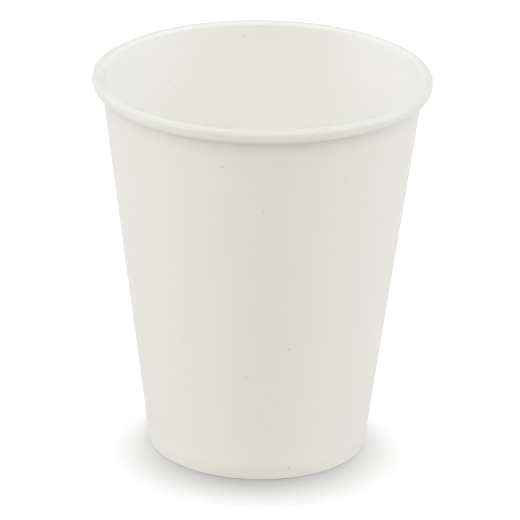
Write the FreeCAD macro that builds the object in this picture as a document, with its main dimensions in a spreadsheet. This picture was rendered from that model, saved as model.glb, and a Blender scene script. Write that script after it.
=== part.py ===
"""A plain single-wall paper cup for hot drinks, with a rolled brim.

Frame: millimetres, +Z up along the cup's axis, the cup standing on the plane z = 0,
the origin on the axis at that plane. An azimuth is counted from +X towards +Y.

The cup is two pieces of coated board. The side wall is a blank wrapped to a cone and
lapped at one seam, with its top edge rolled outwards and its foot folded in and up.
The base disc has a skirt turned down, which the wall's folded foot grips.
"""
import FreeCAD, Part
import os
import Sketcher
from math import cos, radians, sin, tan

SIZES = {
    # The whole cup: the brim across its roll, the cone's outside where it meets the table
    "cup_height": 92.8,
    "brim_diameter": 80.0,
    "foot_diameter": 51.8,
    # Board of the wall and of the base
    "board": 0.33,
    "base_board": 0.30,
    # The roll: its height, how far it stands out past the wall below it, the radius of its
    # lower turn, and how far past level the free edge is tucked up inside it
    "roll_height": 3.0,
    "roll_overhang": 2.3,
    "roll_turn_radius": 1.0,
    "tuck_angle": 30.0,
    # The foot: height of the hem folded up inside, the inner radius of the fold, and the
    # stretch above the hem over which the wall runs straight down and so stands proud of the cone
    "hem_height": 3.4,
    "fold_radius": 0.05,
    "swell_run": 1.5,
    # The seam: where the inner ply's raw edge lies, the lap at mid height, how much the roll
    # grows outwards and upwards over it, the stretch on each side in which the single ply comes
    # back to the round, and the share of the swelling that is left half way along that stretch
    "seam_azimuth": 172.8,
    "seam_lap": 7.0,
    "seam_swell": 0.6,
    "seam_rise": 0.1,
    "seam_run": 8.5,
    "run_hold": 0.75,
    # The base: its underside above the table, its inner corner, the end of its skirt above the
    # table, and the thickness of the sealed coating between the plies
    "recess_depth": 6.0,
    "base_corner": 0.25,
    "skirt_foot": 0.8,
    "seal_gap": 0.01,
}

doc = FreeCAD.newDocument("paper_cup")
sheet = doc.addObject("Spreadsheet::Sheet", "Sizes")
for row, (alias, size) in enumerate(SIZES.items(), start=1):
    sheet.set(f"A{row}", alias)
    sheet.set(f"B{row}", str(size))
    sheet.setAlias(f"B{row}", alias)
doc.recompute()

# The cone. Its slope is taken on the outside, from the table to the underside of the roll;
# the lining is the wall's inner face, and its radius is taken where it would meet the table.
SLOPE = ("(((Sizes.brim_diameter - Sizes.foot_diameter) / 2 - Sizes.roll_overhang)"
         " / (Sizes.cup_height - Sizes.roll_height))")
LEAN = f"atan({SLOPE})"
LINING = f"(Sizes.foot_diameter / 2 - Sizes.board / cos({LEAN}))"
SWELL_TOP = "(Sizes.hem_height + Sizes.swell_run)"
SWELL_RADIUS = f"({LINING} + {SWELL_TOP} * {SLOPE})"
# The lap and the stretches beside it, as angles at the cup's mean radius
MEAN_RADIUS = "((Sizes.brim_diameter + Sizes.foot_diameter) / 4)"
LAP_ANGLE = f"(Sizes.seam_lap / {MEAN_RADIUS} * 180 / pi)"
RUN_ANGLE = f"(Sizes.seam_run / {MEAN_RADIUS} * 180 / pi)"


def number(expression):
    """The present value of an expression on the sheet."""
    value = sheet.evalExpression(expression)
    return float(getattr(value, "Value", value))


def new_sketch(body, name, azimuth="0"):
    """A sketch on the half-plane through the axis at the azimuth: x is the radius, y the height."""
    sketch = body.newObject("Sketcher::SketchObject", name)
    planes = [plane for plane in body.Origin.OriginFeatures if plane.Role == "XZ_Plane"]
    sketch.AttachmentSupport = [(planes[0], "")]
    sketch.MapMode = "FlatFace"
    upright = FreeCAD.Vector(0, 1, 0)
    sketch.AttachmentOffset = FreeCAD.Placement(FreeCAD.Vector(), FreeCAD.Rotation(upright, 1))
    sketch.setExpression("AttachmentOffset.Rotation.Angle", azimuth)
    return sketch


class Outline:
    """Adds lines, arcs and sized constraints to a sketch."""

    ORIGIN = (-1, 1)

    def __init__(self, sketch):
        self.sketch = sketch

    def line(self, start, end):
        edge = Part.LineSegment(FreeCAD.Vector(*start, 0), FreeCAD.Vector(*end, 0))
        return self.sketch.addGeometry(edge)

    def arc(self, centre, radius, first, last):
        """An arc run anticlockwise between two angles in degrees."""
        circle = Part.Circle(FreeCAD.Vector(*centre, 0), FreeCAD.Vector(0, 0, 1), radius)
        return self.sketch.addGeometry(Part.ArcOfCircle(circle, radians(first), radians(last)))

    def relate(self, kind, *places):
        self.sketch.addConstraint(Sketcher.Constraint(kind, *places))

    def size(self, kind, places, expression):
        """A dimension that follows the sheet."""
        index = self.sketch.addConstraint(Sketcher.Constraint(kind, *places, number(expression)))
        self.sketch.setExpression(f"Constraints[{index}]", expression)

    def place(self, geometry, end, across, up):
        """Fixes a point by its radius and height."""
        self.size("DistanceX", (*self.ORIGIN, geometry, end), across)
        self.size("DistanceY", (*self.ORIGIN, geometry, end), up)


START, END, CENTRE = 1, 2, 3


def roll_radius(reach, crown):
    """The upper turn's outer radius: it touches the lining, the reach and the crown."""
    return (f"(((({reach}) - {LINING}) * cos({LEAN}) - ({crown}) * sin({LEAN}))"
            f" / (1 + cos({LEAN}) - sin({LEAN})))")


def wall_face(outline, depth, reach, crown, plies):
    """One face of the wall's board, from the edge tucked into the roll to the edge of the hem.

    depth is how far the face lies outside the lining, reach and crown are the roll's outermost
    radius and highest point, and plies is the thickness folded at the foot. The face is the
    lining's own outline moved sideways by depth: turns that it rounds from inside grow by it,
    and turns that it rounds from outside shrink by it.
    """
    upper = roll_radius(reach, crown)
    upper_across = f"{reach} - {upper}"
    upper_up = f"{crown} - {upper}"
    lower_across = f"{reach} - Sizes.roll_turn_radius"
    lower_up = "Sizes.cup_height - Sizes.roll_height + Sizes.roll_turn_radius"
    upper_radius = f"{upper} - {depth}"
    lower_radius = f"Sizes.roll_turn_radius - {depth}"
    tuck_rise = f"({lower_radius}) * sin(Sizes.tuck_angle * 1 deg)"
    fold = f"Sizes.fold_radius + {depth}"
    mitre = f"{depth} * tan({LEAN} / 2)"
    grip = f"Sizes.base_board + 2 * Sizes.seal_gap + 2 * {depth}"
    hem_end = f"Sizes.hem_height + {depth} * sin({LEAN})"

    lean = number(LEAN)
    slope = tan(radians(lean))
    outward = (cos(radians(lean)), -sin(radians(lean)))
    gap = number(depth)
    radius = number(upper_radius)
    turn = number(lower_radius)
    bend = number(fold)
    upper_centre = (number(upper_across), number(upper_up))
    lower_centre = (number(lower_across), number(lower_up))
    shoulder = (number(SWELL_RADIUS) + gap, number(f"{SWELL_TOP} - {mitre}"))
    ankle = (shoulder[0], number(f"Sizes.hem_height - {mitre}"))
    fold_up = number(f"{plies} + Sizes.fold_radius")
    fold_outer = (ankle[0] - (ankle[1] - fold_up) * slope - bend / outward[0], fold_up)
    fold_inner = (fold_outer[0] - (number(grip) - 2 * bend) / outward[0], fold_up)
    wall_top = (upper_centre[0] - radius * outward[0], upper_centre[1] - radius * outward[1])
    band_end = (fold_outer[0] + bend * outward[0], fold_up + bend * outward[1])
    hem_start = (fold_inner[0] - bend * outward[0], fold_up - bend * outward[1])
    hem_rise = number(hem_end) - hem_start[1]

    tuck = outline.arc(lower_centre, turn, 180 - number("Sizes.tuck_angle"), 360)
    side = outline.line((lower_centre[0] + turn, lower_centre[1]),
                        (upper_centre[0] + radius, upper_centre[1]))
    top = outline.arc(upper_centre, radius, 0, 180 - lean)
    wall = outline.line(wall_top, shoulder)
    swell = outline.line(shoulder, ankle)
    band = outline.line(ankle, band_end)
    outer_fold = outline.arc(fold_outer, bend, 270, 360 - lean)
    flat = outline.line((fold_outer[0], fold_up - bend), (fold_inner[0], fold_up - bend))
    inner_fold = outline.arc(fold_inner, bend, 180 - lean, 270)
    hem = outline.line(hem_start, (hem_start[0] + hem_rise * slope, hem_start[1] + hem_rise))

    outline.relate("Tangent", tuck, END, side, START)
    outline.relate("Tangent", side, END, top, START)
    outline.relate("Tangent", top, END, wall, START)
    outline.relate("Coincident", wall, END, swell, START)
    outline.relate("Coincident", swell, END, band, START)
    outline.relate("Tangent", band, END, outer_fold, END)
    outline.relate("Tangent", outer_fold, START, flat, START)
    outline.relate("Tangent", flat, END, inner_fold, END)
    outline.relate("Tangent", inner_fold, START, hem, START)
    outline.relate("Vertical", swell)
    outline.relate("Parallel", band, wall)
    outline.relate("Horizontal", flat)
    outline.relate("Parallel", hem, wall)
    outline.size("Radius", (tuck,), lower_radius)
    outline.size("Radius", (top,), upper_radius)
    outline.size("Radius", (outer_fold,), fold)
    outline.size("Radius", (inner_fold,), fold)
    outline.place(tuck, CENTRE, lower_across, lower_up)
    outline.place(top, CENTRE, upper_across, upper_up)
    outline.size("DistanceY", (tuck, CENTRE, tuck, START), tuck_rise)
    outline.place(wall, END, f"{SWELL_RADIUS} + {depth}", f"{SWELL_TOP} - {mitre}")
    outline.size("DistanceY", (*outline.ORIGIN, swell, END), f"Sizes.hem_height - {mitre}")
    outline.size("DistanceY", (*outline.ORIGIN, flat, START), f"{plies} - {depth}")
    outline.size("Distance", (hem, END, band), grip)
    outline.size("DistanceY", (*outline.ORIGIN, hem, END), hem_end)
    return tuck, hem


def wall_section(body, name, azimuth, inner_depth, outer_depth, share):
    """A sketch of the board's closed outline in one plane through the axis, where the share of
    the seam's swelling is from 0, far from the lap, to 1, at it."""
    sketch = new_sketch(body, name, azimuth)
    reach = f"(Sizes.brim_diameter / 2 + Sizes.seam_swell * {share})"
    crown = f"(Sizes.cup_height + Sizes.seam_rise * {share})"
    plies = f"(Sizes.board * (1 + {share}))"
    outline = Outline(sketch)
    inner_tuck, inner_hem = wall_face(outline, inner_depth, reach, crown, plies)
    outer_tuck, outer_hem = wall_face(outline, outer_depth, reach, crown, plies)
    for inner, outer, end in ((inner_tuck, outer_tuck, START), (inner_hem, outer_hem, END)):
        first = sketch.getPoint(inner, end)
        last = sketch.getPoint(outer, end)
        edge = outline.line((first.x, first.y), (last.x, last.y))
        outline.relate("Coincident", inner, end, edge, START)
        outline.relate("Coincident", outer, end, edge, END)
    return sketch


def revolve(body, name, sketch, angle):
    """Turns a sketch anticlockwise about the cup's axis, seen from above."""
    feature = body.newObject("PartDesign::Revolution", name)
    feature.Profile = sketch
    feature.ReferenceAxis = (sketch, ["V_Axis"])
    feature.setExpression("Angle", angle)
    return feature


def side_wall():
    """The wrapped blank: one ply round most of the cup and two at the lap. The inner ply comes to
    the lap from the smaller azimuths and the outer ply from the larger ones, each by a run in
    which the single ply leaves the round."""
    body = doc.addObject("PartDesign::Body", "side_wall")
    body.Label = "side_wall"
    inner_edge = "Sizes.seam_azimuth"
    outer_edge = f"{inner_edge} - {LAP_ANGLE}"
    single, double = "Sizes.board", "2 * Sizes.board"
    hold = "Sizes.run_hold"
    held, held_plies = f"(Sizes.board * {hold})", f"(Sizes.board * (1 + {hold}))"

    far_round = wall_section(body, "far_round", f"{outer_edge} - {RUN_ANGLE}", "0", single, "0")
    far_middle = wall_section(body, "far_middle", f"{outer_edge} - {RUN_ANGLE} / 2", "0", single, hold)
    inner_ply = wall_section(body, "inner_ply", outer_edge, "0", single, "1")
    lap = wall_section(body, "lap", outer_edge, "0", double, "1")
    outer_ply = wall_section(body, "outer_ply", inner_edge, single, double, "1")
    near_middle = wall_section(body, "near_middle", f"{inner_edge} + {RUN_ANGLE} / 2",
                               held, held_plies, hold)
    near_round = wall_section(body, "near_round", f"{inner_edge} + {RUN_ANGLE}", "0", single, "0")

    revolve(body, "single_ply", near_round, f"360 - {LAP_ANGLE} - 2 * {RUN_ANGLE}")
    revolve(body, "lapped_plies", lap, LAP_ANGLE)
    for name, sections in (("inner_ply_run", (inner_ply, far_middle, far_round)),
                           ("outer_ply_run", (outer_ply, near_middle, near_round))):
        run = body.newObject("PartDesign::AdditiveLoft", name)
        run.Profile = sections[0]
        run.Sections = list(sections[1:])
    body.Tip = run
    return body


def disc_face(outline, depth):
    """One face of the base, from the axis out and down its skirt; depth is how far the face
    lies inside the skirt's outer face."""
    corner = f"Sizes.base_corner + Sizes.base_board - {depth}"
    level = f"Sizes.recess_depth + Sizes.base_board - {depth}"
    mitre = f"{depth} * tan({LEAN} / 2)"
    across = f"{SWELL_RADIUS} - Sizes.seal_gap - {depth}"
    drop = "(Sizes.hem_height - Sizes.skirt_foot)"
    end_across = f"{SWELL_RADIUS} - Sizes.seal_gap - {drop} * {SLOPE} - {depth} * cos({LEAN})"
    end_up = f"Sizes.skirt_foot + {depth} * sin({LEAN})"

    lean = number(LEAN)
    slope = tan(radians(lean))
    outward = (cos(radians(lean)), -sin(radians(lean)))
    height = number(level)
    bend = number(corner)
    shoulder = (number(across), number(f"{SWELL_TOP} + {mitre}"))
    ankle = (shoulder[0], number(f"Sizes.hem_height + {mitre}"))
    toe = (number(end_across), number(end_up))
    rise = height - bend - shoulder[1]
    centre = (shoulder[0] + rise * slope - bend / outward[0], height - bend)

    plate = outline.line((0, height), (centre[0], height))
    turn = outline.arc(centre, bend, -lean, 90)
    cone = outline.line((centre[0] + bend * outward[0], centre[1] + bend * outward[1]), shoulder)
    swell = outline.line(shoulder, ankle)
    skirt = outline.line(ankle, toe)

    outline.relate("PointOnObject", plate, START, -2)
    outline.relate("Horizontal", plate)
    outline.relate("Tangent", plate, END, turn, END)
    outline.relate("Tangent", turn, START, cone, START)
    outline.relate("Coincident", cone, END, swell, START)
    outline.relate("Coincident", swell, END, skirt, START)
    outline.relate("Vertical", swell)
    outline.relate("Parallel", cone, skirt)
    outline.size("Radius", (turn,), corner)
    outline.size("DistanceY", (*outline.ORIGIN, plate, START), level)
    outline.place(cone, END, across, f"{SWELL_TOP} + {mitre}")
    outline.size("DistanceY", (*outline.ORIGIN, swell, END), f"Sizes.hem_height + {mitre}")
    outline.place(skirt, END, end_across, end_up)
    return plate, skirt


def bottom_disc():
    """The pressed base, its skirt standing inside the folded foot of the wall."""
    body = doc.addObject("PartDesign::Body", "bottom_disc")
    body.Label = "bottom_disc"
    sketch = new_sketch(body, "disc_section")
    outline = Outline(sketch)
    top_plate, outer_skirt = disc_face(outline, "0")
    under_plate, inner_skirt = disc_face(outline, "Sizes.base_board")
    for upper, lower, end in ((top_plate, under_plate, START), (outer_skirt, inner_skirt, END)):
        first = sketch.getPoint(upper, end)
        last = sketch.getPoint(lower, end)
        edge = outline.line((first.x, first.y), (last.x, last.y))
        outline.relate("Coincident", upper, end, edge, START)
        outline.relate("Coincident", lower, end, edge, END)
    body.Tip = revolve(body, "disc", sketch, "360")
    return body


pieces = [side_wall(), bottom_disc()]
doc.recompute()

for item in doc.Objects:
    if "Invalid" in item.State or "Error" in item.State:
        raise RuntimeError(f"{item.Label} did not compute: {item.State}")
    if item.TypeId == "Sketcher::SketchObject" and not item.FullyConstrained:
        raise RuntimeError(f"{item.Label} is not fully constrained")
for piece in pieces:
    if piece.Shape.isNull() or not piece.Shape.isValid() or len(piece.Shape.Solids) != 1:
        raise RuntimeError(f"{piece.Label} is not one valid solid")

os.makedirs("parts", exist_ok=True)
for piece in pieces:
    piece.Shape.exportStep(f"parts/{piece.Label}.step")
    box = piece.Shape.optimalBoundingBox(True, False)
    print(f"{piece.Label}: {piece.Shape.Volume:.1f} mm3, x {box.XMin:.2f} to {box.XMax:.2f},"
          f" z {box.ZMin:.2f} to {box.ZMax:.2f}")
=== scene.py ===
"""A plain white paper cup for hot drinks, standing on a white table in soft studio light.

Frame: +Z up along the cup's axis, the cup standing on the plane z = 0. Sizes are written in
millimetres and turned into metres where a mesh, a lamp or a camera is made. An azimuth is
counted in degrees from +X towards +Y.
"""

import bpy
import numpy as np
from mathutils import Matrix, Vector


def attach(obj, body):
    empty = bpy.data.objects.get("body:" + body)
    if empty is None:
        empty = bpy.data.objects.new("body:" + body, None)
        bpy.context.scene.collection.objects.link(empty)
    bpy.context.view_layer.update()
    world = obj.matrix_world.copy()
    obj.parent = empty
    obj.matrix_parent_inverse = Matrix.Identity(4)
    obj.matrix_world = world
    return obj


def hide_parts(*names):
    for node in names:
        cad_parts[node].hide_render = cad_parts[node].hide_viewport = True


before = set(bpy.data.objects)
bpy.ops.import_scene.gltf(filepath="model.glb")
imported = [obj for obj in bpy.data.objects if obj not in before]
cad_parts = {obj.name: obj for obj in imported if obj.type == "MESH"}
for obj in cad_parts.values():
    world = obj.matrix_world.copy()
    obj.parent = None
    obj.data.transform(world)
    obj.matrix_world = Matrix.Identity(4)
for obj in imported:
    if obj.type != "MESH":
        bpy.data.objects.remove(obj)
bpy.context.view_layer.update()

MM = 0.001

# The cup, with the sizes of its construction
CUP_HEIGHT = 92.8
BRIM_RADIUS = 40.0
FOOT_RADIUS = 25.9
BOARD = 0.33
BASE_BOARD = 0.30
ROLL_HEIGHT = 3.0
ROLL_OVERHANG = 2.3
ROLL_TURN_RADIUS = 1.0
TUCK_ANGLE = 30.0
HEM_HEIGHT = 3.4
FOLD_RADIUS = 0.05
SWELL_TOP = 4.9
RECESS_DEPTH = 6.0
BASE_CORNER = 0.25
SKIRT_FOOT = 0.8
SEAL_GAP = 0.01
LAP_GAP = 0.01

# The seam: its inner raw edge, its outer raw edge, and how the roll swells over it
INNER_EDGE = 172.8
OUTER_EDGE = 160.63
SEAM_SWELL = 0.6
SEAM_RISE = 0.1
SWELL_START, SWELL_FULL = 144.0, 169.0
RUN_START, RUN_END = 178.5, 190.0

# The raw edges of the lap, pressed thin by the sealing jaw
PRESSED_RUN = 1.6
PRESSED_DEPTH = 0.24
PRESSED_IN_ROLL = 0.32

# Where the finish of the roll eases into the lining, in degrees round the roll from its outside
ROLLED_FULL, ROLLED_END = 95.0, 170.0

# Slight waves of the roll: how far they draw it in, and how many there are round the cup
RIPPLE = 0.015
RIPPLE_COUNTS = (7, 12, 19, 31)

# The cone of the wall
SLOPE = (BRIM_RADIUS - FOOT_RADIUS - ROLL_OVERHANG) / (CUP_HEIGHT - ROLL_HEIGHT)
LEAN = np.arctan(SLOPE)
LEAN_DEGREES = np.degrees(LEAN)
LINING = FOOT_RADIUS - BOARD / np.cos(LEAN)
SWELL_RADIUS = LINING + SWELL_TOP * SLOPE
MEAN_RADIUS = (BRIM_RADIUS + FOOT_RADIUS) / 2
PRESSED_DEGREES = np.degrees(PRESSED_RUN / MEAN_RADIUS)

# Parts the blank's first stretch, with its outer raw edge, from the rest of its way round
PAST_OUTER_END = 270.0

# How finely the wall is divided along its profile and round the cup, and how many degrees past
# the seam's swelling its columns stay close together
TUCK_STEPS = 10
ROLL_STEPS = 26
WALL_STEPS = 40
SWELL_STEPS = 3
BAND_STEPS = 4
FOLD_STEPS = 5
HEM_STEPS = 5
EDGE_COLUMNS = 4
LAP_COLUMNS = 11
RUN_COLUMNS = 20
ROUND_COLUMNS = 230
BESIDE_SWELL = 1.0


def ease(position, start, end):
    """Rises smoothly from 0 at the start to 1 at the end, level at both: 3x^2 - 2x^3."""
    share = np.clip((position - start) / (end - start), 0, 1)
    return share * share * (3 - 2 * share)


def arc(across, up, radius, first, last, steps):
    """For each column the points of an arc: centre plus radius times (cosine, sine) of the
    angle, which runs in even steps from first to last, in degrees."""
    angle = np.radians(np.linspace(first, last, steps + 1))
    return np.stack([across[:, None] + radius[:, None] * np.cos(angle),
                     up[:, None] + radius[:, None] * np.sin(angle)], axis=-1)


def run(start, end, steps):
    """For each column the inner points of a straight run, in even steps, without its ends."""
    share = np.linspace(0, 1, steps + 1)[1:-1, None]
    return start[:, None] + (end - start)[:, None] * share


def pair(across, up):
    """A radius and a height for each column as one array of points."""
    return np.stack(np.broadcast_arrays(across, up), axis=-1)


def wall_profile(depth, reach, crown, plies):
    """One face of the wall's board in each column, from the edge tucked into the roll, round the
    roll, down the wall, round the fold at the foot and up to the edge of the hem.

    The face lies depth outside the lining. Its turns are the arcs that touch the straight runs
    beside them; those that it rounds from inside have their radius less depth, and those that
    it rounds from outside their radius plus depth.
    """
    lower = ROLL_TURN_RADIUS - depth
    roll = (((reach - LINING) * np.cos(LEAN) - crown * np.sin(LEAN))
            / (1 + np.cos(LEAN) - np.sin(LEAN)))
    upper = roll - depth
    lower_up = np.full_like(depth, CUP_HEIGHT - ROLL_HEIGHT + ROLL_TURN_RADIUS)
    tuck = arc(reach - ROLL_TURN_RADIUS, lower_up, lower, 180 - TUCK_ANGLE, 360, TUCK_STEPS)
    top = arc(reach - roll, crown - roll, upper, 0, 180 - LEAN_DEGREES, ROLL_STEPS)

    mitre = depth * np.tan(LEAN / 2)
    shoulder = pair(SWELL_RADIUS + depth, SWELL_TOP - mitre)
    ankle = pair(SWELL_RADIUS + depth, HEM_HEIGHT - mitre)
    fold = FOLD_RADIUS + depth
    fold_up = plies + FOLD_RADIUS
    fold_across = ankle[:, 0] - (ankle[:, 1] - fold_up) * SLOPE - fold / np.cos(LEAN)
    grip = BASE_BOARD + 2 * SEAL_GAP + 2 * depth
    hem_across = fold_across - (grip - 2 * fold) / np.cos(LEAN)
    outer_fold = arc(fold_across, fold_up, fold, 360 - LEAN_DEGREES, 270, FOLD_STEPS)
    inner_fold = arc(hem_across, fold_up, fold, 270, 180 - LEAN_DEGREES, FOLD_STEPS)
    hem_start = inner_fold[:, -1]
    rise = HEM_HEIGHT + depth * np.sin(LEAN) - hem_start[:, 1]
    hem_end = hem_start + pair(rise * SLOPE, rise)

    return np.concatenate([
        tuck, top, run(top[:, -1], shoulder, WALL_STEPS), shoulder[:, None],
        run(shoulder, ankle, SWELL_STEPS), ankle[:, None],
        run(ankle, outer_fold[:, 0], BAND_STEPS), outer_fold, inner_fold,
        run(hem_start, hem_end, HEM_STEPS), hem_end[:, None]], axis=1)


def sheet_azimuths():
    """The columns' azimuths along the blank, from its outer raw edge, once round the cup and on
    to its inner raw edge, closer together at the edges, in the lap and beside it."""
    beside_near = RUN_END + BESIDE_SWELL
    beside_far = SWELL_START - BESIDE_SWELL + 360
    start, end = OUTER_EDGE, INNER_EDGE + 360
    stops = (start, start + PRESSED_DEGREES, end - 360, beside_near, beside_far, start + 360,
             end - PRESSED_DEGREES, end)
    columns = (EDGE_COLUMNS, LAP_COLUMNS, RUN_COLUMNS, ROUND_COLUMNS, RUN_COLUMNS, LAP_COLUMNS,
               EDGE_COLUMNS)
    stretches = [np.linspace(first, last, count, endpoint=False)
                 for first, last, count in zip(stops, stops[1:], columns)]
    return np.append(np.concatenate(stretches), stops[-1])


def seam_share(azimuth):
    """The share of the seam's swelling along the blank: 1 in the lap, easing to 0 on both sides."""
    near = 1 - ease(azimuth, RUN_START, RUN_END)
    far = ease(azimuth, SWELL_START + 360, SWELL_FULL + 360)
    own_ply = ease(azimuth, SWELL_START, SWELL_FULL)
    return np.where(azimuth < PAST_OUTER_END, np.minimum(near, own_ply), far)


def under_plies(azimuth):
    """How far the board lies outside the lining, in plies: 1 where it laps over the inner ply,
    easing to 0 past it, and 0 all round to its other edge."""
    return np.where(azimuth < PAST_OUTER_END, 1 - ease(azimuth, RUN_START, RUN_END), 0)


def pressed(distance, depth):
    """How far a face is pressed back at a distance in degrees from the raw edge beside it."""
    return depth * (1 - ease(distance, 0, PRESSED_DEGREES))


def rolled_rows():
    """1 along the roll, easing to 0 down its inner side, and 0 from there to the hem's edge."""
    angle = np.linspace(0, 180 - LEAN_DEGREES, ROLL_STEPS + 1)
    below = WALL_STEPS + SWELL_STEPS + BAND_STEPS + FOLD_STEPS + 1 + FOLD_STEPS + HEM_STEPS
    round_roll = 1 - ease(angle, ROLLED_FULL, ROLLED_END)
    return np.concatenate([np.ones(TUCK_STEPS + 1), round_roll, np.zeros(below)])


def ripple(azimuth):
    """How far the roll is drawn in: a sum of sine waves in the azimuth, each count with its own
    phase, scaled to lie between 0 and RIPPLE."""
    waves = sum(np.sin(np.radians(azimuth) * count + count * count) for count in RIPPLE_COUNTS)
    return RIPPLE * (1 + waves / len(RIPPLE_COUNTS)) / 2


def turned(profile, azimuth):
    """Turns each column's radius and height about the axis by its azimuth, in metres."""
    angle = np.radians(azimuth)[:, None]
    radius, height = profile[..., 0], profile[..., 1]
    return np.stack([radius * np.cos(angle), radius * np.sin(angle), height], axis=-1) * MM


def grid_faces(numbers):
    """The four corners of each cell in a grid of vertex numbers."""
    return np.stack([numbers[:-1, :-1], numbers[1:, :-1], numbers[1:, 1:], numbers[:-1, 1:]],
                    axis=-1).reshape(-1, 4)


# Faces that meet at more than this angle have a sharp edge
SHARP_ANGLE = np.radians(38)


def make_piece(name, points, faces, replaced):
    """A mesh of the object that rides on the root body and stands for a CAD node."""
    mesh = bpy.data.meshes.new(name)
    mesh.from_pydata(points, [], faces)
    mesh.update()
    mesh.shade_smooth()
    mesh.set_sharp_from_angle(angle=SHARP_ANGLE)
    piece = bpy.data.objects.new(name, mesh)
    bpy.context.scene.collection.objects.link(piece)
    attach(piece, "root")
    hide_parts(replaced)
    return piece


def mark(piece, name, domain, values):
    """A number on each face or point for the finish to read."""
    layer = piece.data.attributes.new(name, "FLOAT", domain)
    layer.data.foreach_set("value", values.astype(np.float32))


def side_wall():
    """The wrapped blank as one closed sheet: a grid of azimuth along the blank and place along
    the profile for its lining, the same grid one board further out for its outside, and a strip
    of cut edge along each of the four borders."""
    azimuth = sheet_azimuths()
    share = seam_share(azimuth)
    reach = BRIM_RADIUS + SEAM_SWELL * share - ripple(azimuth)
    crown = CUP_HEIGHT + SEAM_RISE * share
    inner = under_plies(azimuth) * (BOARD + LAP_GAP)
    covered = ease(azimuth, SWELL_START + 360, OUTER_EDGE + 360) * (BOARD + LAP_GAP)
    plies = BOARD + inner + covered
    rolled = rolled_rows()
    lining, outside = (
        (1 - rolled)[:, None] * wall_profile(depth(PRESSED_DEPTH), reach, crown, plies)
        + rolled[:, None] * wall_profile(depth(PRESSED_IN_ROLL), reach, crown, plies)
        for depth in (lambda most: inner + pressed(azimuth[-1] - azimuth, most),
                      lambda most: inner + BOARD - pressed(azimuth - azimuth[0], most)))

    rows = lining.shape[1]
    numbers = np.arange(len(azimuth) * rows).reshape(len(azimuth), rows)
    beyond = numbers + numbers.size
    tuck, hem = (np.stack([beyond[:, row], numbers[:, row]], axis=1) for row in (0, -1))
    start, end = (np.stack([numbers[column], beyond[column]], axis=1) for column in (0, -1))
    faces = [grid_faces(numbers), grid_faces(beyond)[:, ::-1], grid_faces(tuck),
             grid_faces(hem)[:, ::-1], grid_faces(start), grid_faces(end)[:, ::-1]]
    points = np.concatenate([turned(side, azimuth).reshape(-1, 3) for side in (lining, outside)])
    piece = make_piece("cup_wall", points.tolist(), np.concatenate(faces).tolist(),
                       "side_wall")

    length = np.linalg.norm(np.diff(lining, axis=1), axis=-1).cumsum(axis=1)
    length = np.concatenate([np.zeros((len(azimuth), 1)), length], axis=1)
    along = np.broadcast_to(np.radians(azimuth)[:, None] * MEAN_RADIUS, length.shape)
    blank = np.tile(np.stack([along, length], axis=-1).reshape(-1, 2), (2, 1))
    corners = np.concatenate(faces).ravel()
    piece.data.uv_layers.new(name="blank").data.foreach_set("uv", blank[corners].ravel())
    counts = [len(group) for group in faces]
    mark(piece, "coated", "FACE", np.repeat([1.0, 0, 0, 0, 0, 0], counts))
    mark(piece, "cut_edge", "FACE", np.repeat([0.0, 0, 1, 1, 1, 1], counts))
    mark(piece, "rolled", "POINT", np.tile(rolled, 2 * len(azimuth)))
    return piece


# The base
DISC_COLUMNS = 192
PLATE_STEPS = 14
CORNER_STEPS = 6
SKIRT_STEPS = 3


def disc_profile(depth):
    """One face of the base from near the axis outwards, round the corner and down the skirt;
    the face lies depth inside the outer one."""
    depth = np.array([depth])
    bend = BASE_CORNER + BASE_BOARD - depth
    level = RECESS_DEPTH + BASE_BOARD - depth
    mitre = depth * np.tan(LEAN / 2)
    across = SWELL_RADIUS - SEAL_GAP - depth
    drop = HEM_HEIGHT - SKIRT_FOOT
    shoulder = pair(across, SWELL_TOP + mitre)
    ankle = pair(across, HEM_HEIGHT + mitre)
    toe = pair(SWELL_RADIUS - SEAL_GAP - drop * SLOPE - depth * np.cos(LEAN),
               SKIRT_FOOT + depth * np.sin(LEAN))
    rise = level - bend - shoulder[:, 1]
    centre = shoulder[:, 0] + rise * SLOPE - bend / np.cos(LEAN)
    corner = arc(centre, level - bend, bend, 90, -LEAN_DEGREES, CORNER_STEPS)
    middle = pair(np.zeros(1), level)
    plate = run(middle, corner[:, 0], PLATE_STEPS)
    return np.concatenate([plate, corner, shoulder[:, None], run(shoulder, ankle, SKIRT_STEPS),
                           ankle[:, None], run(ankle, toe, SKIRT_STEPS), toe[:, None]], axis=1)[0]


def bottom_disc():
    """The base as its profile turned once round the axis: the upper face out and down the skirt,
    the under face back up and in, and a fan of triangles at the axis on both."""
    upper, under = disc_profile(0.0), disc_profile(BASE_BOARD)
    profile = np.concatenate([upper, under[::-1]])
    azimuth = np.linspace(0, 360, DISC_COLUMNS, endpoint=False)
    ring = turned(np.broadcast_to(profile, (DISC_COLUMNS, *profile.shape)), azimuth)
    numbers = np.arange(DISC_COLUMNS * len(profile)).reshape(DISC_COLUMNS, len(profile))
    numbers = np.concatenate([numbers, numbers[:1]])
    poles = np.array([[0, 0, upper[0, 1]], [0, 0, under[0, 1]]]) * MM
    top = np.stack([np.full(DISC_COLUMNS, ring.size // 3), numbers[:-1, 0], numbers[1:, 0]], axis=1)
    low = np.stack([np.full(DISC_COLUMNS, ring.size // 3 + 1), numbers[1:, -1], numbers[:-1, -1]],
                   axis=1)
    points = np.concatenate([ring.reshape(-1, 3), poles])
    walls = grid_faces(numbers)[:, ::-1]
    piece = make_piece("cup_base", points.tolist(), walls.tolist() + top.tolist() + low.tolist(),
                       "bottom_disc")
    upward = np.tile(np.arange(len(profile) - 1) < len(upper) - 1, DISC_COLUMNS)
    mark(piece, "coated", "FACE", np.concatenate([upward, np.ones(len(top)), np.zeros(len(low))]))
    return piece


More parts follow.
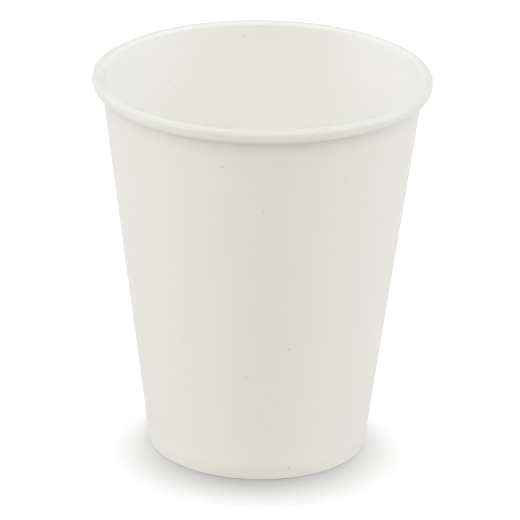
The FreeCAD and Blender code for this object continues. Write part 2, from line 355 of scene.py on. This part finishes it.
# The camera that fits the cup's outline in the photograph
CAMERA_DISTANCE = 1150.0
CAMERA_ELEVATION = np.radians(21.767)
CAMERA_ROLL = np.radians(0.90)
CAMERA_AIM = np.array([-0.035, 0.0, 45.704])
PHOTO_WIDTH = 520.0
FOCAL_PIXELS = 4822.1
SENSOR_WIDTH = 36.0
CLIP_NEAR, CLIP_FAR = 50.0, 20000.0


def camera_frame():
    """The camera's place and its three directions: across, upright and back."""
    back = np.array([0, -np.cos(CAMERA_ELEVATION), np.sin(CAMERA_ELEVATION)])
    level = np.array([1.0, 0, 0])
    rising = np.cross(back, level)
    across = np.cos(CAMERA_ROLL) * level + np.sin(CAMERA_ROLL) * rising
    upright = np.cos(CAMERA_ROLL) * rising - np.sin(CAMERA_ROLL) * level
    return CAMERA_AIM + CAMERA_DISTANCE * back, across, upright, back


def make_camera():
    """The photograph's camera, as the scene's own."""
    lens = bpy.data.cameras.new("photo_camera")
    lens.sensor_width = SENSOR_WIDTH
    lens.lens = FOCAL_PIXELS / PHOTO_WIDTH * SENSOR_WIDTH
    lens.clip_start, lens.clip_end = CLIP_NEAR * MM, CLIP_FAR * MM
    camera = bpy.data.objects.new("photo_camera", lens)
    bpy.context.scene.collection.objects.link(camera)
    place, across, upright, back = camera_frame()
    turn = Matrix(np.stack([across, upright, back], axis=1).tolist()).to_4x4()
    camera.matrix_world = Matrix.Translation(place * MM) @ turn
    bpy.context.scene.camera = camera


class Signal:
    """A number, vector or colour on a socket; sums on numbers add Math nodes."""

    def __init__(self, nodes, socket):
        self.nodes = nodes
        self.socket = socket

    def math(self, operation, *values):
        return self.nodes.node("ShaderNodeMath", {"operation": operation}, dict(enumerate(values)))

    def __add__(self, other):
        return self.math("ADD", self, other)

    def __rsub__(self, other):
        return self.math("SUBTRACT", other, self)

    def __mul__(self, other):
        return self.math("MULTIPLY", self, other)

    __radd__ = __add__
    __rmul__ = __mul__

    def most(self, other):
        return self.math("MAXIMUM", self, other)

    def rise(self, start, end):
        """0 below the start, 1 above the end, smooth between; the other way round if start > end."""
        low, high, first, last = (start, end, 0, 1) if start < end else (end, start, 1, 0)
        return self.nodes.node("ShaderNodeMapRange", {"interpolation_type": "SMOOTHSTEP"},
                               {"Value": self, "From Min": low, "From Max": high,
                                "To Min": first, "To Max": last})


class Nodes:
    """A node tree of a material or the world, and the nodes that are added to it."""

    def __init__(self, tree):
        self.tree = tree

    def node(self, kind, settings=None, values=None, output=0):
        """Adds a node: its settings first, then the numbers or links of its sockets."""
        node = self.tree.nodes.new(kind)
        for key, value in (settings or {}).items():
            setattr(node, key, value)
        for key, value in (values or {}).items():
            self.put(node.inputs[key], value)
        return Signal(self, node.outputs[output])

    def put(self, socket, value):
        if isinstance(value, Signal):
            self.tree.links.new(value.socket, socket)
        else:
            socket.default_value = value

    def seen_directly(self):
        """1 on rays from the camera, a reflection or a clear piece, 0 on rays that light."""
        camera, glossy, clear = (self.node("ShaderNodeLightPath", output=name) for name in
                                 ("Is Camera Ray", "Is Glossy Ray", "Is Transmission Ray"))
        return camera.most(glossy).most(clear)


class Finish(Nodes):
    """A material built node by node round one Principled shader."""

    def __init__(self, name):
        self.material = bpy.data.materials.new(name)
        self.material.use_nodes = True
        super().__init__(self.material.node_tree)
        self.shader = self.tree.nodes["Principled BSDF"]

    def set(self, **values):
        """Sets or links the shader's sockets; an underscore stands for a space."""
        for key, value in values.items():
            self.put(self.shader.inputs[key.replace("_", " ")], value)

    def mix(self, factor, first, second):
        """A colour between two colours."""
        return self.node("ShaderNodeMix", {"data_type": "RGBA"},
                         {"Factor": factor, 6: first, 7: second}, output=2)

    def noise(self, place, size, detail, roughness):
        """Noise from 0 to 1 whose waves are about size long, in the units of the place."""
        return self.node("ShaderNodeTexNoise", {},
                         {"Vector": place, "Scale": 1 / size, "Detail": detail,
                          "Roughness": roughness})

    def stretched(self, place, scale):
        return self.node("ShaderNodeMapping", {}, {"Vector": place, "Scale": scale})

    def mark(self, name):
        return self.node("ShaderNodeAttribute", {"attribute_name": name}, output="Fac")

    def bump(self, height, depth, under=None):
        """A bump of the given depth in millimetres, on top of another bump."""
        values = {"Strength": 1.0, "Distance": depth * MM, "Height": height}
        if under:
            values["Normal"] = under
        return self.node("ShaderNodeBump", {}, values, output="Normal")


# The looks of the board: its colours, and its clouds, fibres and streaks with sizes in millimetres
BOARD_WHITE = (0.880, 0.862, 0.853, 1)
BOARD_SHADE = (0.840, 0.820, 0.803, 1)
LINING_WHITE = (0.953, 0.947, 0.945, 1)
LINING_SHADE = (0.933, 0.926, 0.921, 1)
ROLL_WHITE = (0.834, 0.830, 0.820, 1)
ROLL_SHADE = (0.777, 0.771, 0.756, 1)
# A darker, yellower colour painted low at the front of the foot: painted warm shade and floor bounce
# light
PAINTED_FOOT_SHADE = (0.830, 0.818, 0.755, 1)
CUT_EDGE = (0.860, 0.842, 0.805, 1)
CUT_HIDDEN_IN_ROLL = 0.8
SPECK = (0.360, 0.330, 0.290, 1)
CLOUD_SIZE = 5.0
CLOUD_ROUGHNESS = 0.5
CLOUD_SHARE = 0.35
GRAIN_DETAIL = 3.0
FIBRE_SIZE = 0.35
FIBRE_ROUGHNESS = 0.6
FIBRE_SHARE = 0.3
FIBRE_STRETCH = 0.3
FIBRE_DEPTH = 0.006
STREAK_SIZE = 0.5
STREAK_DETAIL = 2.0
STREAK_ROUGHNESS = 0.6
STREAK_STRETCH = 0.08
STREAK_DEPTH = 0.01
STREAK_EDGES = (0.3, 0.7)

# The heights, and the distances from the front's middle, between which the painted warm shade low at
# the front of the foot fades out
PAINTED_FOOT_SHADE_TOP, PAINTED_FOOT_SHADE_FULL = 5.0, 2.5
PAINTED_FOOT_SHADE_SIDE, PAINTED_FOOT_SHADE_MIDDLE = 18.0, 9.0
PAINTED_FOOT_SHADE_SHARE = 0.6

# How matt the board and its coating are
BARE_ROUGHNESS = 0.72
COATED_ROUGHNESS = 0.50
COAT_WEIGHT = 0.10
COAT_ROUGHNESS = 0.28
PAPER_SPECULAR = 0.35


def board_tone(finish, place, unit):
    """From 0 to 1: the clouds of the pressed pulp and its fibres, in the units of the place."""
    cloud = finish.noise(place, CLOUD_SIZE * unit, GRAIN_DETAIL, CLOUD_ROUGHNESS)
    fibre = finish.noise(finish.stretched(place, (1.0, FIBRE_STRETCH, 1.0)), FIBRE_SIZE * unit,
                         GRAIN_DETAIL, FIBRE_ROUGHNESS)
    return CLOUD_SHARE * cloud + FIBRE_SHARE * fibre, fibre


# The specks that the photograph shows: pixel across, pixel down, strength. The one on the roll
# lies further out than the wall.
SPECK_RADIUS = 0.24
SPECK_CORE = 0.05
ROLL_SPECK_OUT = 1.0
LINING_SPECKS = ((168.3, 80.2, 0.7), (325.6, 115.5, 0.4), (244.8, 35.5, 0.4), (334.0, 103.0, 0.2))
OUTER_SPECKS = (
    (222.5, 167.5, 0.7), (224.5, 166.5, 0.3), (263.8, 211.6, 0.6), (345.5, 183.5, 0.4),
    (187.5, 199.5, 0.3), (184.8, 237.5, 0.3), (183.0, 339.5, 0.4), (266.5, 339.5, 0.3),
    (288.6, 349.5, 0.8), (293.5, 366.5, 0.3), (246.0, 377.7, 0.7), (267.5, 428.5, 0.3),
    (189.5, 443.5, 0.4))
HEM_SPECKS = ((288.5, 468.0, 0.9),)
ROLL_SPECKS = ((248.5, 131.5, 0.4),)


def on_cone(pixels, radius_at_foot, side):
    """Where the rays through pixels of the photograph meet the cone of the wall: the near or
    the far root of the quadratic that sets the ray's distance from the axis equal to the cone's
    radius at its height."""
    place, across, upright, back = camera_frame()
    middle = PHOTO_WIDTH / 2
    ray = ((pixels[:, :1] - middle) * across - (pixels[:, 1:2] - middle) * upright
           - FOCAL_PIXELS * back)
    radius = radius_at_foot + SLOPE * place[2]
    grow = SLOPE * ray[:, 2]
    square = ray[:, 0] ** 2 + ray[:, 1] ** 2 - grow ** 2
    half = ray[:, :2] @ place[:2] - grow * radius
    rest = place[:2] @ place[:2] - radius ** 2
    share = (-half + side * np.sqrt(half ** 2 - square * rest)) / square
    return place + share[:, None] * ray


def speck_centres():
    """The middle of each speck on the cup, in metres, and its strength."""
    band = FOOT_RADIUS + (SWELL_TOP - HEM_HEIGHT) * SLOPE
    roll = FOOT_RADIUS + ROLL_SPECK_OUT
    groups = ((LINING_SPECKS, LINING, 1), (OUTER_SPECKS, FOOT_RADIUS, -1),
              (HEM_SPECKS, band, -1), (ROLL_SPECKS, roll, -1))
    for specks, radius, side in groups:
        specks = np.array(specks)
        for centre, strength in zip(on_cone(specks, radius, side) * MM, specks[:, 2]):
            yield tuple(centre), strength


def speck_mask(finish, place):
    """1 in the middle of each speck and 0 outside them, less for a faint one."""
    mask = None
    for centre, strength in speck_centres():
        away = finish.node("ShaderNodeVectorMath", {"operation": "DISTANCE"},
                           {0: place, 1: centre}, output="Value")
        speck = strength * away.rise(SPECK_RADIUS * MM, SPECK_CORE * MM)
        mask = mask.most(speck) if mask else speck
    return mask


def wall_finish():
    """Cup board: a cloudy warm white with fine fibres and a few specks, streaked along the roll
    where it is drawn over, coated on the lining and bare at the cut edges."""
    finish = Finish("coated_board")
    blank = finish.node("ShaderNodeUVMap", {"uv_map": "blank"})
    place = finish.node("ShaderNodeTexCoord", output="Object")
    coated, cut, rolled = (finish.mark(name) for name in ("coated", "cut_edge", "rolled"))
    tone, fibre = board_tone(finish, blank, 1.0)
    streak = finish.noise(finish.stretched(blank, (STREAK_STRETCH, 1.0, 1.0)), STREAK_SIZE,
                          STREAK_DETAIL, STREAK_ROUGHNESS)
    aside, forward, height = (finish.node("ShaderNodeSeparateXYZ", {}, {0: place}, output=axis)
                              for axis in "XYZ")
    # Mask of the painted shade: 1 low on the front of the foot, fading upwards and towards the sides
    painted_foot_shade_mask = (height.rise(PAINTED_FOOT_SHADE_TOP * MM, PAINTED_FOOT_SHADE_FULL * MM)
              * aside.math("ABSOLUTE", aside).rise(PAINTED_FOOT_SHADE_SIDE * MM, PAINTED_FOOT_SHADE_MIDDLE * MM)
              * forward.rise(0, -PAINTED_FOOT_SHADE_MIDDLE * MM))

    bare = finish.mix(tone, BOARD_WHITE, BOARD_SHADE)
    # Paints warm shade low at the front of the foot
    bare = finish.mix(PAINTED_FOOT_SHADE_SHARE * painted_foot_shade_mask, bare, PAINTED_FOOT_SHADE)
    drawn = finish.mix(streak.rise(*STREAK_EDGES), ROLL_WHITE, ROLL_SHADE)
    bare = finish.mix(rolled, bare, drawn)
    lining = finish.mix(tone, LINING_WHITE, LINING_SHADE)
    paper = finish.mix(coated * (1 - rolled), bare, lining)
    paper = finish.mix(speck_mask(finish, place), paper, SPECK)
    finish.set(Base_Color=finish.mix(cut * (1 - CUT_HIDDEN_IN_ROLL * rolled), paper, CUT_EDGE))
    finish.set(Roughness=BARE_ROUGHNESS + (COATED_ROUGHNESS - BARE_ROUGHNESS) * coated)
    finish.set(Specular_IOR_Level=PAPER_SPECULAR)
    finish.set(Coat_Weight=COAT_WEIGHT * coated, Coat_Roughness=COAT_ROUGHNESS)
    grain = finish.bump(fibre, FIBRE_DEPTH)
    finish.set(Normal=finish.bump(rolled * streak, STREAK_DEPTH, under=grain))
    return finish.material


def base_finish():
    """The base's board, the same stock, coated on its upper face."""
    finish = Finish("base_board")
    place = finish.node("ShaderNodeTexCoord", output="Object")
    coated = finish.mark("coated")
    tone, fibre = board_tone(finish, place, MM)
    bare = finish.mix(tone, BOARD_WHITE, BOARD_SHADE)
    lining = finish.mix(tone, LINING_WHITE, LINING_SHADE)
    finish.set(Base_Color=finish.mix(coated, bare, lining))
    finish.set(Roughness=BARE_ROUGHNESS + (COATED_ROUGHNESS - BARE_ROUGHNESS) * coated)
    finish.set(Specular_IOR_Level=PAPER_SPECULAR)
    finish.set(Coat_Weight=COAT_WEIGHT * coated, Coat_Roughness=COAT_ROUGHNESS)
    finish.set(Normal=finish.bump(fibre, FIBRE_DEPTH))
    return finish.material


# The table: its white for the light that it sends back, and what the camera sees of it, which
# is part lit white that darkens to a painted contact shade at the cup's foot, and part plain
# white that dims close to the cup under a painted shadow
TABLE_HALF = 3000.0
TABLE_DROP = 0.01
BOUNCE_WHITE = (0.905, 0.897, 0.873, 1)
LIT_WHITE = (0.30, 0.30, 0.30, 1)
# The darkest painted contact shade of the lit white, right at the cup's foot
PAINTED_CONTACT_SHADE = (0.08, 0.08, 0.08, 1)
PLAIN_WHITE = 0.95
CONTACT_REACH = 12.0
SHADOW_REACH = 25.0
SHADOW_TILT = np.radians(60)
SHADE_SAMPLES = 16


def make_table():
    """A wide white table top."""
    corners = np.array([[-1, -1, 0], [1, -1, 0], [1, 1, 0], [-1, 1, 0]]) * TABLE_HALF * MM
    corners[:, 2] = -TABLE_DROP * MM
    mesh = bpy.data.meshes.new("table_top")
    mesh.from_pydata(corners.tolist(), [], [(0, 1, 2, 3)])
    table = bpy.data.objects.new("table_top", mesh)
    bpy.context.scene.collection.objects.link(table)
    finish = Finish("table_white")
    bounce = finish.node("ShaderNodeBsdfDiffuse", {}, {"Color": BOUNCE_WHITE})
    # Painted contact shade: the lit white darkens where ambient occlusion finds the cup close by
    contact = finish.node("ShaderNodeAmbientOcclusion", {"samples": SHADE_SAMPLES},
                          {"Distance": CONTACT_REACH * MM}, output="AO")
    # Painted shadow: the plain white dims where ambient occlusion, looked for tilted towards the
    # back, finds the cup
    upward = finish.node("ShaderNodeCombineXYZ", {},
                         {"Y": np.sin(SHADOW_TILT), "Z": np.cos(SHADOW_TILT)})
    shadow = finish.node("ShaderNodeAmbientOcclusion", {"samples": SHADE_SAMPLES},
                         {"Distance": SHADOW_REACH * MM, "Normal": upward}, output="Color")
    finish.set(Base_Color=finish.mix(contact, PAINTED_CONTACT_SHADE, LIT_WHITE))
    finish.set(Roughness=1.0, Specular_IOR_Level=0.0)
    finish.set(Emission_Color=shadow, Emission_Strength=PLAIN_WHITE)
    seen = Signal(finish, finish.shader.outputs["BSDF"])
    look = finish.node("ShaderNodeMixShader", {}, {0: finish.seen_directly(), 1: bounce, 2: seen})
    finish.put(finish.tree.nodes["Material Output"].inputs["Surface"], look)
    mesh.materials.append(finish.material)


def make_world():
    """A dark studio round the lamps, which the camera and reflections see as white."""
    world = bpy.data.worlds.new("studio")
    bpy.context.scene.world = world
    world.use_nodes = True
    nodes = Nodes(world.node_tree)
    background = nodes.tree.nodes["Background"]
    background.inputs["Color"].default_value = (1, 1, 1, 1)
    nodes.put(background.inputs["Strength"], nodes.seen_directly())


# The softboxes round the cup: the kind of each, its azimuth, its power in watts and its colour.
# A kind is an elevation in degrees, a width and a height.
LAMP_DISTANCE = 900.0
HIGH_BOX = (45.0, 700.0, 700.0)
LOW_BOX = (15.0, 600.0, 400.0)
NEUTRAL = (1, 1, 1)
COOL = (0.99, 1, 1.03)
WARM = (1, 0.97, 0.70)
LAMPS = {
    "right_box": (HIGH_BOX, 0, 2.1, COOL),
    "low_right_box": (LOW_BOX, 0, 1.64, COOL),
    "back_right_box": (HIGH_BOX, 45, 0.96, NEUTRAL),
    "back_left_box": (HIGH_BOX, 135, 1.52, NEUTRAL),
    "left_box": (HIGH_BOX, 180, 1.05, COOL),
    "low_left_box": (LOW_BOX, 180, 1.64, COOL),
    "front_left_box": (HIGH_BOX, 225, 2.68, NEUTRAL),
    "front_box": (HIGH_BOX, 270, 1.84, WARM),
    "front_right_box": (HIGH_BOX, 315, 1.6, NEUTRAL),
}


def make_lamp(name, kind, azimuth, power, colour):
    """An oblong lamp that faces the middle of the cup."""
    elevation, width, height = kind
    lamp = bpy.data.lights.new(name, "AREA")
    lamp.shape = "RECTANGLE"
    lamp.size = width * MM
    lamp.size_y = height * MM
    lamp.energy = power
    lamp.color = colour
    box = bpy.data.objects.new(name, lamp)
    bpy.context.scene.collection.objects.link(box)
    turn, raised = np.radians(azimuth), np.radians(elevation)
    away = Vector((np.cos(turn) * np.cos(raised), np.sin(turn) * np.cos(raised), np.sin(raised)))
    box.location = (away * LAMP_DISTANCE + Vector((0, 0, CUP_HEIGHT / 2))) * MM
    box.rotation_mode = "QUATERNION"
    box.rotation_quaternion = away.to_track_quat("Z", "Y")


wall = side_wall()
base = bottom_disc()
wall.data.materials.append(wall_finish())
base.data.materials.append(base_finish())
make_table()
make_world()
for lamp_name, lamp in LAMPS.items():
    make_lamp(lamp_name, *lamp)
make_camera()
bpy.context.scene.view_settings.view_transform = "Standard"
